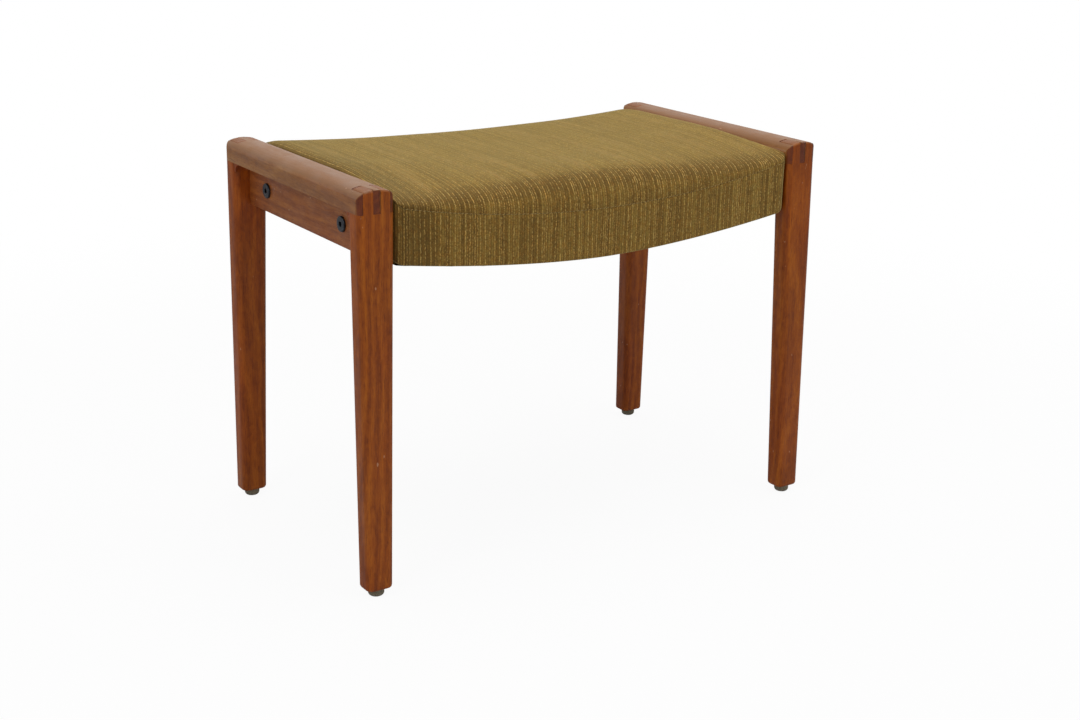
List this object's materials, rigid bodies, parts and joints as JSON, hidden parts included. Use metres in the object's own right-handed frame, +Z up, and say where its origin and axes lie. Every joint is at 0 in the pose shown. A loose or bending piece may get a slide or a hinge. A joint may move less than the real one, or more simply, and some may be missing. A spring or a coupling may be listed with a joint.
{
  "type": "upholstered footstool",
  "caption": "Low upholstered footstool: dipped cushion seat in striped wool cloth, bolted between two teak side frames on splayed, tapered legs.",
  "frame": {"origin": "on the floor, under the middle of the stool", "axes": "+X to the right along the stool, from one side frame to the other; +Y from its front to its back; +Z up"},
  "size_m": [0.547, 0.3188, 0.4],
  "materials": {
    "teak": "oiled, satin",
    "teak_rail": "oiled, worn smooth, satin",
    "beech": "bare, planed",
    "dowel_beech": "bare",
    "blackened_steel": "blackened, satin",
    "zinc_steel": "zinc plated",
    "glide_plastic": "matt, worn on its face",
    "striped_cloth_top": "woven wool with fine stripes",
    "striped_cloth_band": "woven wool with fine stripes",
    "foam": "open-cell foam",
    "jute_webbing": "coarse plain weave",
    "black_cloth": "thin plain weave"
  },
  "bodies": {
    "root": {"top_rail_left": "teak_rail", "side_rail_left": "teak", "seat_end_rail_left": "beech", "leg_front_left": "teak", "glide_front_left": "glide_plastic", "connector_bolt_front_left": "blackened_steel", "threaded_insert_front_left": "zinc_steel", "side_rail_dowel_front_left_lower": "dowel_beech", "seat_dowel_front_left_lower": "dowel_beech", "side_rail_dowel_front_left_upper": "dowel_beech", "seat_dowel_front_left_upper": "dowel_beech", "leg_back_left": "teak", "glide_back_left": "glide_plastic", "connector_bolt_back_left": "blackened_steel", "threaded_insert_back_left": "zinc_steel", "side_rail_dowel_back_left_lower": "dowel_beech", "seat_dowel_back_left_lower": "dowel_beech", "side_rail_dowel_back_left_upper": "dowel_beech", "seat_dowel_back_left_upper": "dowel_beech", "top_rail_right": "teak_rail", "side_rail_right": "teak", "seat_end_rail_right": "beech", "leg_front_right": "teak", "glide_front_right": "glide_plastic", "connector_bolt_front_right": "blackened_steel", "threaded_insert_front_right": "zinc_steel", "side_rail_dowel_front_right_lower": "dowel_beech", "seat_dowel_front_right_lower": "dowel_beech", "side_rail_dowel_front_right_upper": "dowel_beech", "seat_dowel_front_right_upper": "dowel_beech", "leg_back_right": "teak", "glide_back_right": "glide_plastic", "connector_bolt_back_right": "blackened_steel", "threaded_insert_back_right": "zinc_steel", "side_rail_dowel_back_right_lower": "dowel_beech", "seat_dowel_back_right_lower": "dowel_beech", "side_rail_dowel_back_right_upper": "dowel_beech", "seat_dowel_back_right_upper": "dowel_beech", "seat_long_rail_front": "beech", "cover_band_front": "striped_cloth_band", "seat_long_rail_back": "beech", "cover_band_back": "striped_cloth_band", "webbing_strap_1": "jute_webbing", "webbing_strap_2": "jute_webbing", "webbing_strap_3": "jute_webbing", "webbing_strap_4": "jute_webbing", "webbing_strap_5": "jute_webbing", "webbing_strap_6": "jute_webbing", "foam_pad": "foam", "cover_top_panel": "striped_cloth_top", "dust_cover": "black_cloth"}
  },
  "joints": []
}
